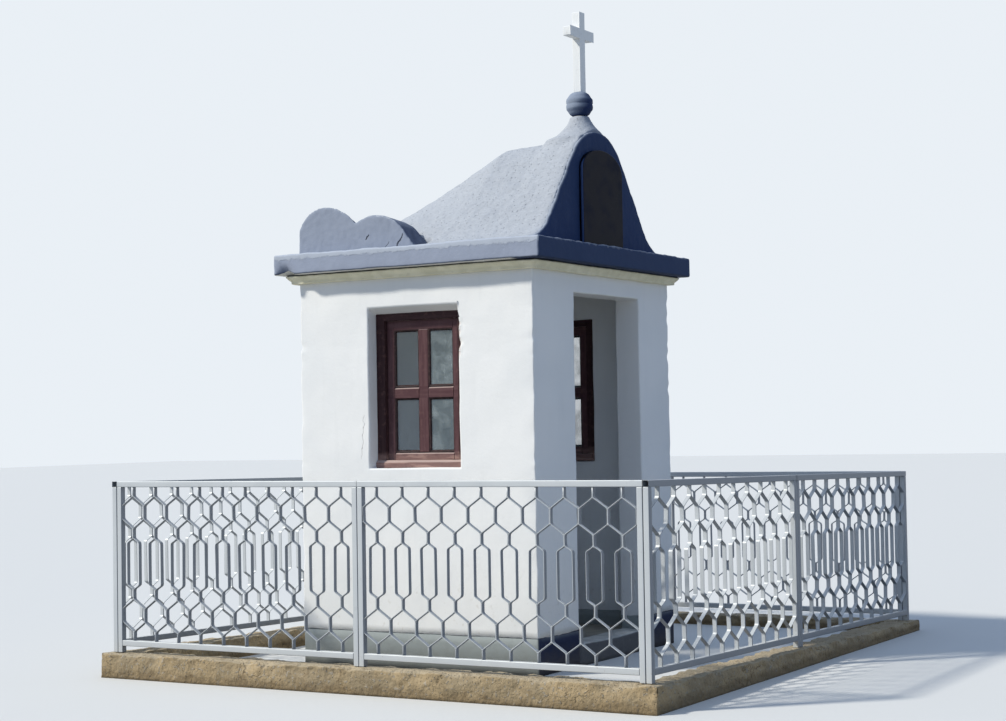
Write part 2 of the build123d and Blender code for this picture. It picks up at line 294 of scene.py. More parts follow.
plot = block((kerb_outer.x + kerb_width, kerb_outer.y + kerb_width, -0.1),
             (kerb_far.x - kerb_width, kerb_far.y - kerb_width, kerb_high + 0.1))
kerb = carve(block((kerb_outer.x, kerb_outer.y, 0), kerb_far), plot)
soften(kerb, kerb_round, lambda edge: max(v.co.z for v in edge.verts) < 0.01, 2)
cut_up(kerb, kerb_grid)
for point in kerb.verts:
    if point.co.z > 0.005:
        weathered(point)
        point.co += 0.0025 * noise.noise_vector(point.co / 0.16)
        point.co += 0.0022 * noise.noise_vector(point.co / 0.030)
    share = (point.co.x - kerb_outer.x) / (kerb_far.x - kerb_outer.x)
    point.co.z *= 1 + share * (kerb_low / kerb_high - 1)
    for axis in range(3):
        point.co[axis] = min(max(point.co[axis], kerb_outer[axis]), kerb_far[axis])
piece("kerb_ring", kerb, finish(kerb_concrete), "kerb_concrete", *kerb_nodes)

# Railing: eight panels of square steel tube on the kerb, each filled with bent flat bar.
# The bars are welded back to back where they meet, and all of it is brushed with silver-grey paint.


def skin(mesh, loops, ring=False):
    """Add the surface over a row of loops, closed at its ends or joined into a ring."""
    rows = [[mesh.verts.new(point) for point in loop] for loop in loops]
    following = rows[1:] + rows[:1] if ring else rows[1:]
    for row, after in zip(rows, following):
        for i in range(len(row)):
            mesh.faces.new((row[i - 1], row[i], after[i], after[i - 1]))
    if not ring:
        mesh.faces.new(rows[0])
        mesh.faces.new(rows[-1])
    return mesh


def railing_paint(shade):
    """Silver-grey paint with painted shade on the faces turned from the lamp, and rusty in specks."""
    worn = step(grain(shade, 0.05), 0.60, 0.76)
    low = step(0.26 + grain(shade, 0.05) * 0.10 - along(shade, "Z"), 0.0, 0.16)
    rust = step(grain(shade, 0.016) + low * 0.08, 0.76, 0.80)
    # Faces toward -Y, underneath and toward +X are darkened as painted shade.
    painted_shade_sides = (("Y", -1, 1), ("Z", -1, 0.8), ("X", 1, 0.4))
    painted_shade = sum(step(facing(shade, axis) * way, 0.25, 0.80) * share for axis, way, share in painted_shade_sides)
    colour = mix(grain(shade, 0.20), tint(186, 191, 195), tint(206, 210, 213))
    colour = coat(colour, (painted_shade, 122, 129, 139), (worn * 0.25, 158, 163, 168),
                  (low * 0.12, 170, 162, 146), (rust * 0.7, 122, 92, 70))
    relief = grain(shade, 0.006, 3, (1, 1, 0.4)) * 0.0003 - rust * 0.0003
    return colour, 0.44 + worn * 0.2 + rust * 0.3, relief


def bent(corners, radius):
    """Path through corners (x, z), with each bend rounded."""
    path = [Vector(corners[0])]
    for before, corner, after in zip(corners, corners[1:], corners[2:]):
        before, corner, after = Vector(before), Vector(corner), Vector(after)
        back = (before - corner).normalized() * radius
        ahead = (after - corner).normalized() * radius
        path += [corner + back, corner + (back + ahead) * 0.22, corner + ahead]
    path.append(Vector(corners[-1]))
    return path


def flat_bar(mesh, path, bulge):
    """Sweep the flat bar's section, with rounded edges, along a path in the panel."""
    half = flat_thick / 2
    deep = flat_deep / 2
    soft = flat_round
    section = [(-half, soft - deep), (soft - half, -deep), (half - soft, -deep), (half, soft - deep),
               (half, deep - soft), (half - soft, deep), (soft - half, deep), (-half, deep - soft)]
    loops = []
    for i, point in enumerate(path):
        run = (path[min(i + 1, len(path) - 1)] - path[max(i - 1, 0)]).normalized()
        normal = Vector((run.y, -run.x))
        middle = point + Vector((bulge(point.y), 0))
        loops.append([(middle.x + normal.x * a, b, middle.y + normal.y * a) for a, b in section])
    skin(mesh, loops)


def bead(mesh, place, size, chance):
    """Small uneven lump of weld."""
    lump = bmesh.ops.create_icosphere(mesh, subdivisions=1, radius=1)["verts"]
    stretch = Vector(size) * chance.uniform(0.8, 1.2)
    for point in lump:
        point.co = Vector(place) + point.co * stretch * chance.uniform(0.85, 1.15)


def join(mesh, other):
    """Add a second mesh to the first."""
    copies = {point: mesh.verts.new(point.co) for point in other.verts}
    for face in other.faces:
        mesh.faces.new([copies[point] for point in face.verts])
    other.free()


def square_bar(mesh, low, high, round_off):
    """Add a square bar, or a tube that is closed at its ends, with rounded corners."""
    join(mesh, soften(block(low, high), round_off, segments=2))


def open_tube(mesh, length, z):
    """Level tube along X whose open ends show its wall."""
    outside = (tube_size / 2, tube_round)
    inside = (tube_size / 2 - tube_wall, tube_round - tube_wall)
    loops = []
    for x, (half, soft) in ((0, outside), (length, outside), (length, inside), (0, inside)):
        corner = ((half - soft, half), (half - 0.3 * soft, half - 0.3 * soft), (half, half - soft))
        loop = []
        for turn in range(4):
            for a, b in corner:
                y, up = ((a, b), (b, -a), (-a, -b), (-b, a))[turn]
                loop.append((x, y, z + up))
        loops.append(loop)
    skin(mesh, loops, ring=True)


tube_size = 0.035
tube_wall = 0.002
tube_round = 0.004
foot_gap = 0.040
flat_thick = 0.004
flat_deep = 0.025
flat_round = 0.001
bend_radius = 0.010
columns = 10
# Shares of the height between the rails, from each rail inwards, and of a column's width.
stub, slant, post_long, post_short, fork = 0.060, 0.060, 0.089, 0.065, 0.029
fork_spread = 0.27
end_weld = (0.005, 0.008, 0.003)
back_weld = (0.0025, 0.0007, 0.006)
panel_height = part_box("railing_left_1")[1].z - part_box("railing_left_1")[0].z


def panel(panel_length, chance):
    """One panel, drawn upright along +X from its first post, with its foot at 0."""
    mesh = bmesh.new()
    half = tube_size / 2
    under = panel_height - tube_size
    floor_at = foot_gap + tube_size
    height = under - floor_at
    pitch = (panel_length - 2 * tube_size) / columns
    inner = flat_thick / 2
    outer = pitch / 2 - inner
    last = panel_length - tube_size
    open_tube(mesh, panel_length, panel_height - half)
    square_bar(mesh, (0, -half, 0), (tube_size, half, under), tube_round)
    square_bar(mesh, (last, -half, 0), (panel_length, half, under), tube_round)
    square_bar(mesh, (tube_size, -half, foot_gap), (last, half, floor_at), tube_round)
    levels = [0]
    for share in (stub, slant, post_long, slant, post_short, fork):
        levels.append(levels[-1] + share * height)
    for column in range(columns):
        middle = tube_size + (column + 0.5) * pitch
        across = [inner, inner, outer, outer, inner, inner, fork_spread * pitch]
        for side in (-1, 1):
            upper = [(middle + side * x, under - level) for x, level in zip(across, levels)]
            lower = [(x, under + floor_at - z) for x, z in reversed(upper)]
            swell = chance.gauss(0, 0.0026)
            lean = chance.gauss(0, 0.0008)
            span = height - 2 * levels[-1]

            def bulge(z):
                share = (z - floor_at - levels[-1]) / span
                return swell * sin(pi * share) + lean if 0 < share < 1 else 0

            flat_bar(mesh, bent(upper + lower, bend_radius), bulge)
        for level in (0, height):
            bead(mesh, (middle, 0, under - level), end_weld, chance)
        inner_welds = [(middle, levels[at]) for at in (1, 4, 5)]
        outer_welds = [(middle + pitch / 2, levels[at]) for at in (2, 3)]
        for x, down in inner_welds + outer_welds:
            for level in (down, height - down):
                for face in (-1, 1):
                    bead(mesh, (x, face * flat_deep / 2, under - level), back_weld, chance)
    return mesh


silver = finish(railing_paint, metal=0.15)
railing_chance = Random(11)
for side in sides:
    across_plot = side in ("front", "back")
    for number in (1, 2):
        node = f"railing_{side}_{number}"
        low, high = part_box(node)
        length = high.x - low.x if across_plot else high.y - low.y
        fall = (high.z - low.z - panel_height) / length
        mesh = panel(length, railing_chance)
        start = railing_chance.uniform(0, 90)
        for point in mesh.verts:
            x, y, z = point.co
            in_frame = foot_gap + tube_size < z < panel_height - tube_size
            if in_frame and tube_size < x < length - tube_size:
                x += 0.0035 * noise.noise(Vector((x / 0.16, z / 0.16, start)))
                y += 0.0030 * noise.noise(Vector((x / 0.12, z / 0.12, start + 7)))
            y += 0.0020 * noise.noise(Vector((x / 0.70, z / 0.70, start + 3)))
            if across_plot:
                point.co = (low.x + x, (low.y + high.y) / 2 + y, low.z + fall * (length - x) + z)
            else:
                point.co = ((low.x + high.x) / 2 + y, low.y + x, low.z + z)
        piece(f"railing_panel_{side}_{number}", mesh, silver, "railing_paint", node)

# Plinth and doorstep: rough render over the footing, painted with the same blue-grey paint as
# the roof up to a hand-drawn line. The step is a worn slab of render without paint.


def splash_line(shade, height):
    """1 below an uneven hand-painted line at that height."""
    level = along(shade, "Z") + (grain(shade, 0.11, 3) - 0.5) * 0.018
    return 1 - step(level, height - 0.002, height + 0.002)


def masonry_paint(shade, bright, shaded_side):
    """Masonry paint, paler where it faces the lamp and darker where it faces away: partly chalking,
    partly painted light and shade.
    """
    sun = facing(shade, "Y") * 0.42 - facing(shade, "X") * 0.62 + facing(shade, "Z") * 0.50
    chalk_and_painted_light = step(sun + (grain(shade, 0.16) - 0.5) * 0.16, -0.30, 0.60)
    patches = step(grain(shade, 0.060, 6), 0.40, 0.70)
    bare = step(grain(shade, 0.010, 4), 0.70, 0.76)
    # The lamp-facing colour and the colour facing away stand partly for chalking and partly for painted
    # light and shade.
    fresh = mix(chalk_and_painted_light, tint(*shaded_side), tint(*bright))
    old = mix(chalk_and_painted_light, tint(*shaded_side, 0.86), tint(*bright, 0.84))
    colour = mix(patches * 0.14, fresh, old)
    colour = coat(colour, (bare * chalk_and_painted_light * 0.25, 202, 204, 204))
    relief = grain(shade, 0.030, 5) * 0.0022 + grain(shade, 0.006, 3) * 0.0007 - bare * 0.0004
    return colour, 0.70 + chalk_and_painted_light * 0.16, relief


def limewash(shade):
    """White limewash over trowelled render, grey with splashed earth low down."""
    z = along(shade, "Z")
    cloud = step(grain(shade, 0.55, 3), 0.35, 0.70)
    streak = step(grain(shade, 0.05, 4, (1, 1, 0.12)), 0.55, 0.75)
    splash = step(0.62 + grain(shade, 0.10) * 0.30 - z, 0.0, 0.50)
    stain = step(grain(shade, 0.035, 6), 0.60, 0.74)
    colour = mix(cloud, tint(236, 237, 237), tint(242, 242, 241))
    colour = coat(colour, (streak * 0.10, 212, 213, 212), (splash * 0.10, 204, 198, 184),
                  (stain * splash * 0.25, 180, 170, 152))
    trowel = grain(shade, 0.09, 3) * 0.0020 + grain(shade, 0.018, 4) * 0.0007
    return colour, 0.90 + stain * 0.05, trowel + grain(shade, 0.003, 2) * 0.0003


def plinth_paint(shade):
    colour, roughness, relief = masonry_paint(shade, *plinth_shades)
    white, _, _ = limewash(shade)
    earth = step(0.13 + grain(shade, 0.06) * 0.10 - along(shade, "Z"), 0.0, 0.16)
    colour = coat(colour, (earth * 0.30, 128, 118, 98))
    colour = mix(1 - splash_line(shade, paint_line), colour, white)
    return colour, roughness, relief


def step_render(shade):
    worn = step(grain(shade, 0.10), 0.40, 0.66)
    # Upright faces of the step get a dark grey as painted shade; the tread keeps the worn render
    # colours.
    riser = step(facing(shade, "Z"), 0.2, 0.8)
    colour = mix(riser, tint(88, 90, 94), mix(worn, tint(176, 176, 172), tint(198, 198, 194)))
    colour = coat(colour, (step(grain(shade, 0.012), 0.58, 0.70) * 0.4, 120, 116, 108))
    return colour, 0.88 - worn * 0.1, grain(shade, 0.02) * 0.003 + grain(shade, 0.004, 2) * 0.0008


def floor_screed(shade):
    dust = step(grain(shade, 0.20), 0.40, 0.66)
    colour = mix(dust, tint(128, 126, 120), tint(158, 152, 140))
    colour = coat(colour, (step(grain(shade, 0.02), 0.60, 0.70) * 0.4, 100, 94, 84))
    return colour, 0.85 - dust * 0.1, grain(shade, 0.03) * 0.002 + grain(shade, 0.004, 2) * 0.0005


def dress(node, material):
    """Give a carried-over node its material."""
    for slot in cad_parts[node].material_slots:
        slot.material = material


def on_seam(edge):
    """An edge that lies level at the joint between plinth and walls, at the ground or the eaves."""
    heights = [point.co.z for point in edge.verts]
    level = abs(heights[0] - heights[1]) < 1e-4
    return level and min(abs(heights[0] - seam) for seam in (0, plinth_top, eaves)) < 1e-3


wall_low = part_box("left_wall")[0]
wall_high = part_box("right_wall")[1]
front_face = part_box("front_pier_left")[0].y
room_low = Vector((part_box("left_wall")[1].x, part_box("front_pier_left")[1].y, 0))
room_high = Vector((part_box("right_wall")[0].x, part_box("back_wall")[0].y, 0))
door_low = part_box("door_lintel")[0]
door_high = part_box("door_lintel")[1]
plinth_top = wall_low.z
eaves = wall_high.z
paint_line = plinth_top + 0.004
plinth_shades = ((150, 156, 155), (46, 54, 78))
trowel_waves = ((0.0035, 0.24, 0), (0.0009, 0.06, 0))
beyond = 0.05
wall_grid = 0.045
plinth_round = 0.012

plinth = block((wall_low.x, front_face, 0), (wall_high.x, wall_high.y, plinth_top))
room_tool = block((room_low.x, room_low.y, -beyond), (room_high.x, room_high.y, plinth_top + beyond))
door_tool = block((door_low.x, front_face - beyond, -beyond),
                  (door_high.x, room_low.y + beyond, plinth_top + beyond))
plinth = carve(plinth, room_tool, door_tool)
soften(plinth, plinth_round, on_seam)
cut_up(plinth, wall_grid)
push(plinth, *trowel_waves)
plinth_nodes = ["plinth_" + part for part in ("left", "right", "back", "front_left", "front_right")]
piece("plinth_skin", plinth, finish(plinth_paint, gloss=0.1), "plinth_paint", *plinth_nodes)

sill_low, sill_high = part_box("door_sill")
step_round = 0.014
step_grid = 0.03
trodden = 0.006
trodden_half = 0.30
doorstep = block((sill_low.x, sill_low.y, 0), sill_high)
soften(doorstep, step_round, on_seam)
cut_up(doorstep, step_grid)
for point in doorstep.verts:
    tread = max(0, 1 - ((point.co.x - (sill_low.x + sill_high.x) / 2) / trodden_half) ** 2)
    point.co.z -= trodden * tread * (point.co.z > sill_high.z - 0.02)
push(doorstep, (0.0025, 0.05, 5))
piece("doorstep", doorstep, finish(step_render), "sill_render", "door_sill")
dress("floor_slab", finish(floor_screed))

# Walls: brick with a thick lime render put on by hand, limewashed white inside and out.
# One skin covers piers, lintel and walls, with soft arrises and render broken away at one window.


def prism(outline, axis, start, end):
    """Solid with that outline, seen along an axis, between two places on the axis."""
    loops = []
    for place in (start, end):
        loop = []
        for a, b in outline:
            point = [a, b]
            point.insert(axis, place)
            loop.append(point)
        loops.append(loop)
    return skin(bmesh.new(), loops)


def scratch(shade, start, end, wide):
    """1 on a ragged line between two places (y, z)."""
    run = Vector(end) - Vector(start)
    length = run.length
    run.normalize()
    y = along(shade, "Y") - start[0] + (grain(shade, 0.05, 4) - 0.5) * 0.05
    z = along(shade, "Z") - start[1]
    off = y * run.y - z * run.x
    ahead = y * run.x + z * run.y
    thin = 1 - step(abs(off), wide * 0.4, wide)
    return thin * step(ahead, 0, 0.008) * (1 - step(ahead, length - 0.008, length))


def wall_render(shade):
    """Limewash with the plinth's paint at its foot, a long crack, and bare render at one window."""
    colour, roughness, relief = limewash(shade)
    x, y, z = (along(shade, axis) for axis in "XYZ")
    paint, _, _ = masonry_paint(shade, *plinth_shades)
    outside = step(0.0 - x, -wall_low.x - 0.02, -wall_low.x - 0.01)
    crack = scratch(shade, crack_top, crack_foot, crack_wide) * outside
    near = 1 - step(abs(y - chip_y) + grain(shade, 0.03) * 0.02, 0.018, 0.034)
    near = near * (1 - step(abs(z - chip_z), chip_length / 2 - 0.05, chip_length / 2))
    near = near * step(0.0 - x, -wall_low.x - 0.10, -wall_low.x - 0.02)
    broken = near * step(grain(shade, 0.03), 0.44, 0.56)
    colour = coat(colour, (broken * 0.6, 190, 158, 146), (crack * 0.45, 140, 136, 130))
    colour = mix(splash_line(shade, paint_line), colour, paint)
    return colour, roughness, relief - crack * 0.003 - broken * 0.004


def rough_arris(point):
    """Break the render away along the near edge of the left window."""
    reach = hypot(point.co.x - wall_low.x, point.co.y - chip_y)
    share = max(0, 1 - reach / 0.050)
    share = share * max(0, 1 - abs(point.co.z - chip_z) / (chip_length / 2)) ** 0.5
    loose = max(0, noise.noise(point.co / 0.045) + 0.35)
    point.co.x += 0.020 * share * loose
    point.co.y -= 0.022 * share * loose


def worn_corners(point):
    """Wear the four upright corners of the house by up to a centimetre."""
    for x in (wall_low.x, wall_high.x):
        for y in (front_face, wall_high.y):
            inwards = Vector((1 if x < 0 else -1, 1 if y < 0 else -1, 0))
            share = max(0, 1 - hypot(point.co.x - x, point.co.y - y) / 0.05)
            point.co += inwards * 0.010 * share * max(0, noise.noise(point.co / 0.06) + 0.1)


window_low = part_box("left_window_sill")[0]
window_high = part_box("left_window_frame")[1]
window_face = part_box("left_window_frame")[0].x
head_splay = 0.035
chip_y = window_low.y
chip_z = 2.02
chip_length = 0.26
crack_top = (window_high.y + 0.040, 1.57)
crack_foot = (window_high.y + 0.065, 1.29)
crack_wide = 0.0018
wall_round = 0.010
edge_grid = 0.011
chip_grid = 0.012

foot = plinth_top - beyond
walls = block((wall_low.x, front_face, plinth_top), wall_high)
tools = [block((room_low.x, room_low.y, foot), (room_high.x, room_high.y, eaves + beyond)),
         block((door_low.x, front_face - beyond, foot), (door_high.x, room_low.y + beyond, door_low.z))]
for side, outer, inner in (("left", wall_low.x, room_low.x), ("right", wall_high.x, room_high.x)):
    way = 1 if inner > outer else -1
    start, end = (corner.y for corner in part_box(side + "_window_frame"))
    outside, inside = outer - way * beyond, inner + way * beyond
    low_x, high_x = sorted((outside, inside))
    tools.append(block((low_x, start, window_low.z), (high_x, end, window_high.z)))
    depth = abs(window_face - wall_low.x)
    rise = head_splay * (depth + beyond) / depth
    splay = [(outside, window_high.z - beyond), (outside, window_high.z + rise),
             (outer + way * depth, window_high.z), (outer + way * depth, window_high.z - beyond)]
    tools.append(prism(splay, 1, start, end))
walls = carve(walls, *tools)
soften(walls, wall_round, on_seam)
cut_up(walls, wall_grid)
for corner in (window_low, window_high):
    cut_at(walls, 1, [corner.y + count * edge_grid for count in range(-4, 5)])
    cut_at(walls, 2, [corner.z + count * edge_grid for count in range(-3, 5)])
cut_at(walls, 2, [chip_z + count * chip_grid for count in range(-12, 13)])
for point in walls.verts:
    rough_arris(point)
    worn_corners(point)
push(walls, *trowel_waves, (0.0004, 0.015, 0))
wall_nodes = ["front_pier_left", "front_pier_right", "door_lintel"]
wall_nodes += [side + "_wall" for side in ("left", "right", "back")]
piece("wall_render", walls, finish(wall_render), "lime_render", *wall_nodes)

# Windows: a box frame of painted softwood let into the render, a sash with crossed bars set back
# in it, four panes bedded in putty, and a sill board. The paint is dark red-brown, worn on the sill.


def window_paint(shade, bright):
    """Red-brown paint, as bright as that, over wood whose grain runs along each bar; below 1 it is
    painted shade.
    """
    z = along(shade, "Z")
    up_grain = grain(shade, 0.020, 5, (1, 1, 0.10))
    cross_grain = grain(shade, 0.020, 5, (1, 0.10, 1))
    head = window_high.z - frame_head - top_rail
    foot = window_low.z + sill_board + bottom_rail
    lying = 1 - step(abs(z - transom_at), transom / 2, transom / 2 + 0.002)
    lying = lying + step(z, head - 0.002, head)
    lying = lying + 1 - step(z, foot, foot + 0.002)
    wood = up_grain + (cross_grain - up_grain) * lying
    # Faces turned up are paler: partly weathering of the paint, partly painted light on the tops.
    level = step(facing(shade, "Z"), 0.25, 0.6)
    low = step(window_low.z + 0.085 + grain(shade, 0.05) * 0.05 - z, 0.0, 0.05)
    worn = step(grain(shade, 0.030, 5) + low * 0.16 + level * 0.10, 0.54, 0.70)
    colour = mix(step(wood, 0.35, 0.65), tint(86, 62, 65, bright), tint(98, 73, 75, bright))
    open_grain = low * (0.35 + step(wood, 0.50, 0.62) * 0.4)
    colour = coat(colour, (worn * 0.22, 132, 102, 97), (open_grain, 172, 142, 132),
                  (level * 0.55, 204, 184, 176))
    return colour, 0.50 + worn * 0.3, wood * 0.0008 - worn * 0.0004


def sash_paint(shade):
    return window_paint(shade, 1)


# The box frame gets the sash's paint at 0.70 of its brightness, as painted shade.
def frame_painted_shade(shade):
    return window_paint(shade, 0.70)


def putty_paint(shade):
    dry = step(grain(shade, 0.02), 0.45, 0.62)
    colour = mix(dry, tint(50, 38, 40), tint(72, 56, 56))
    return colour, 0.6 + dry * 0.2, grain(shade, 0.008) * 0.0012


def dusty_glass(shade):
    """Glass with a film of dust and drips; on the pair of panes further back the film and cover are
    thinned as painted shade.
    """
    middle = (window_low.y + window_high.y) / 2
    # A thinner film and cover on the rear panes make them darker, as painted shade.
    rear_painted_shade = step(along(shade, "Y"), middle - 0.02, middle + 0.02)
    film = step(grain(shade, 0.10, 5), 0.30, 0.72)
    drip = step(grain(shade, 0.012, 4, (1, 1, 0.10)), 0.58, 0.70)
    spots = step(grain(shade, 0.006, 2), 0.70, 0.76)
    dust = (film * 0.55 + drip * 0.25 + spots * 0.20) * (1 - rear_painted_shade * 0.75)
    colour = mix(dust, tint(116, 130, 134), tint(180, 190, 192))
    cover = (0.24 + dust * 0.46) * (1 - rear_painted_shade * 0.62)
    return colour, 0.06 + dust * 0.40, grain(shade, 0.25, 1) * 0.0006, cover


def weathered_bar(mesh, low, high, way, slope=0.012):
    """Level bar whose outer top edge is planed off to shed rain; way points outwards along X."""
    inner, outer = (low[0], high[0]) if way > 0 else (high[0], low[0])
    outline = [(inner, low[2]), (outer, low[2]), (outer, high[2] - slope),
               (outer - way * slope, high[2]), (inner, high[2])]
    join(mesh, soften(prism(outline, 1, low[1], high[1]), eased, segments=2))


frame_side = 0.065
frame_head = 0.046
stile = 0.053
top_rail = 0.060
bottom_rail = 0.049
mullion = 0.072
transom = 0.070
transom_at = 1.703
transom_low = transom_at - transom / 2
transom_high = transom_at + transom / 2
sill_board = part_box("left_window_sill")[1].z - window_low.z
sill_slope = 0.014
putty_wide = 0.013
frame_round = 0.003
sash_round = 0.004
eased = 0.002
wood_grid = 0.06
fine_grid = 0.03
sash_wood = finish(sash_paint, gloss=0.1)
shaded_frame_wood = finish(frame_painted_shade, gloss=0.1)
putty = finish(putty_paint, gloss=0.2)
glass = finish(dusty_glass, gloss=0.15)
for side, way in (("left", -1), ("right", 1)):
    low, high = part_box(side + "_window_frame")
    start, end = low.y + frame_side, high.y - frame_side
    box_frame = bmesh.new()
    square_bar(box_frame, low, (high.x, start, high.z), frame_round)
    square_bar(box_frame, (low.x, end, low.z), high, frame_round)
    square_bar(box_frame, (low.x, start, high.z - frame_head), (high.x, end, high.z), frame_round)
    cut_up(box_frame, wood_grid, (1, 2))
    push(box_frame, (0.0012, 0.12, 0))
    piece(side + "_box_frame", box_frame, shaded_frame_wood, "window_wood", side + "_window_frame")

    low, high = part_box(side + "_window_sash")
    start, end = low.y + stile, high.y - stile
    middle = (low.y + high.y) / 2
    near, far = middle - mullion / 2, middle + mullion / 2
    foot, head = low.z + bottom_rail, high.z - top_rail
    bays = ((start, near), (far, end))
    storeys = ((foot, transom_low), (transom_high, head))
    sash = bmesh.new()
    square_bar(sash, low, (high.x, start, high.z), sash_round)
    square_bar(sash, (low.x, end, low.z), high, sash_round)
    square_bar(sash, (low.x, start, head), (high.x, end, high.z), sash_round)
    square_bar(sash, (low.x, near, foot), (high.x, far, head), sash_round)
    weathered_bar(sash, (low.x, start, low.z), (high.x, end, foot), way)
    for start, end in bays:
        weathered_bar(sash, (low.x, start, transom_low), (high.x, end, transom_high), way)
    cut_up(sash, wood_grid, (1, 2))
    push(sash, (0.0010, 0.12, 0))
    piece(side + "_cross_sash", sash, sash_wood, "window_wood", side + "_window_sash")

    glass_low, glass_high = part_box(side + "_window_panes")
    glass_face = glass_high.x if way > 0 else glass_low.x
    sash_face = high.x if way > 0 else low.x
    bedding = bmesh.new()
    for start, end in bays:
        for foot, head in storeys:
            loops = []
            for x, inset in ((sash_face - way * 0.002, 0), (glass_face, putty_wide), (glass_face, 0)):
                loops.append([(x, start + inset, foot + inset), (x, end - inset, foot + inset),
                              (x, end - inset, head - inset), (x, start + inset, head - inset)])
            skin(bedding, loops, ring=True)
    cut_up(bedding, fine_grid, (1, 2))
    push(bedding, (0.0010, 0.03, 0))
    piece(side + "_putty", bedding, putty, "window_wood")
    dress(side + "_window_panes", glass)

    low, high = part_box(side + "_window_sill")
    board = bmesh.new()
    weathered_bar(board, low, high, way, sill_slope)
    cut_up(board, fine_grid, (1,))
    push(board, (0.0015, 0.10, 0), (0.0008, 0.02, 0))
    piece(side + "_sill_board", board, sash_wood, "window_wood", side + "_window_sill")

# Cornice: a two-step moulding run in cement under the slab, mitred at the corners and painted
# cream, with a thin painted shadow along its top where the slab rests on it.


def cornice_paint(shade):
    z = along(shade, "Z")
    # A dark line just under the slab is painted shadow.
    shadow = step(z + (grain(shade, 0.05) - 0.5) * 0.006, eaves - 0.010, eaves - 0.005)
    mottled = step(grain(shade, 0.08), 0.38, 0.66)
    worn = step(grain(shade, 0.020, 5), 0.58, 0.70)
    colour = mix(mottled, tint(232, 226, 196), tint(246, 240, 212))
    colour = coat(colour, (worn * 0.25, 198, 190, 164), (shadow * 0.9, 52, 54, 60))
    return colour, 0.86 + worn * 0.1, grain(shade, 0.02) * 0.0022 + grain(shade, 0.005, 2) * 0.0005


def around(reach, z):
    """Rectangle round the walls, that far out."""
    left, right = wall_low.x - reach, wall_high.x + reach
    front, back = front_face - reach, wall_high.y + reach
    return [(left, front, z), (right, front, z), (right, back, z), (left, back, z)]


cornice_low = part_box("cornice_front")[0]
cornice_out = front_face - cornice_low.y
cornice_in = 0.6 * cornice_out
cornice_mid = (cornice_low.z + eaves) / 2
cove = (cornice_out - cornice_in) / 2
cornice_profile = [(-0.004, cornice_low.z + 0.002), (cornice_in - 0.004, cornice_low.z),
                   (cornice_in, cornice_low.z + 0.004), (cornice_in, cornice_mid - cove),
                   (cornice_in + cove, cornice_mid), (cornice_out - 0.002, cornice_mid + cove),
                   (cornice_out, cornice_mid + cove + 0.003), (cornice_out, eaves - 0.007),
                   (cornice_out - 0.006, eaves - 0.006), (cornice_out - 0.006, eaves), (-0.004, eaves)]
cornice = skin(bmesh.new(), [around(reach, z) for reach, z in cornice_profile], ring=True)
cut_up(cornice, 0.05, (0, 1))
push(cornice, (0.0030, 0.20, 0), (0.0012, 0.035, 0))
for point in cornice.verts:
    point.co.z = min(point.co.z, eaves)
cornice_nodes = ["cornice_" + side for side in sides]
piece("cornice_run", cornice, finish(cornice_paint), "cornice_render", *cornice_nodes)

# Roof slab: cast concrete whose edge is the deep fascia. Its arrises are worn, a corner at the
# back is chipped, and cement from the roof is smeared over its top edge.


def slab_paint(shade):
    colour, roughness, relief = masonry_paint(shade, (154, 162, 180), (54, 68, 98))
    z = along(shade, "Z")
    # The cement smear is wider and paler on the face toward the lamp: partly real smear, partly painted
    # light.
    lit = step(0.0 - facing(shade, "X"), 0.2, 0.6)
    smear = step(z + (grain(shade, 0.030, 5) - 0.5) * 0.040 + lit * 0.028, slab_top - 0.014, slab_top)
    under = step(0.0 - facing(shade, "Z"), 0.7, 0.9)
    inside = under * step(along(shade, "Y"), front_face + 0.05, front_face + 0.1)
    # A dark band along the fascia's foot, just over the cornice, is painted shadow.
    lower = 1 - step(z + (grain(shade, 0.04) - 0.5) * 0.010, eaves + 0.004, eaves + 0.012)
    colour = coat(colour, (smear * (0.25 + lit * 0.45), 186, 193, 204), (lower * 0.5, 52, 58, 74),
                  (inside, 214, 214, 210))
    return colour, roughness, relief + smear * 0.0015


slab_low, slab_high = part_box("roof_slab")
slab_top = slab_high.z
slab_round = 0.013
slab_grid = 0.034
chip_at = Vector((slab_low.x, slab_high.y - 0.10, slab_low.z))

slab = soften(block(slab_low, slab_high), slab_round)
cut_up(slab, slab_grid)
for point in slab.verts:
    share = max(0, 1 - (point.co - chip_at).length / 0.075)
    point.co.x += 0.024 * share * (1 + noise.noise(point.co / 0.02))
    point.co.z += 0.030 * share
    edge = max(0, 1 - abs(slab_top - point.co.z) / 0.03)
    point.co.z += 0.004 * edge * noise.noise(point.co / 0.05)
push(slab, (0.0045, 0.22, 2), (0.0020, 0.045, 4))
for point in slab.verts:
    point.co.z = max(point.co.z, eaves)
piece("fascia_slab", slab, finish(slab_paint, gloss=0.1), "slab_paint", "roof_slab")

# Roof: cement trowelled by hand over rubble into a bell that runs back from the gable and falls to
# the back edge, with the neck for the ball drawn up out of it. Trowel marks and lumps stay in it.


def cast(name):
    """Mesh of a node as the frame has it, with its points joined."""
    mesh = bmesh.new()
    mesh.from_mesh(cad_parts[name].data)
    bmesh.ops.remove_doubles(mesh, verts=mesh.verts, dist=1e-5)
    return mesh


def trowelled(mesh, size):
    """Remake a mesh in even small faces and smooth it as a trowel does."""
    thing = shape(mesh)
    remake = thing.modifiers.new("remake", "REMESH")
    remake.mode = "VOXEL"
    remake.voxel_size = size
    smooth = thing.modifiers.new("smooth", "SMOOTH")
    smooth.factor = 0.5
    smooth.iterations = 2
    return settled(thing)


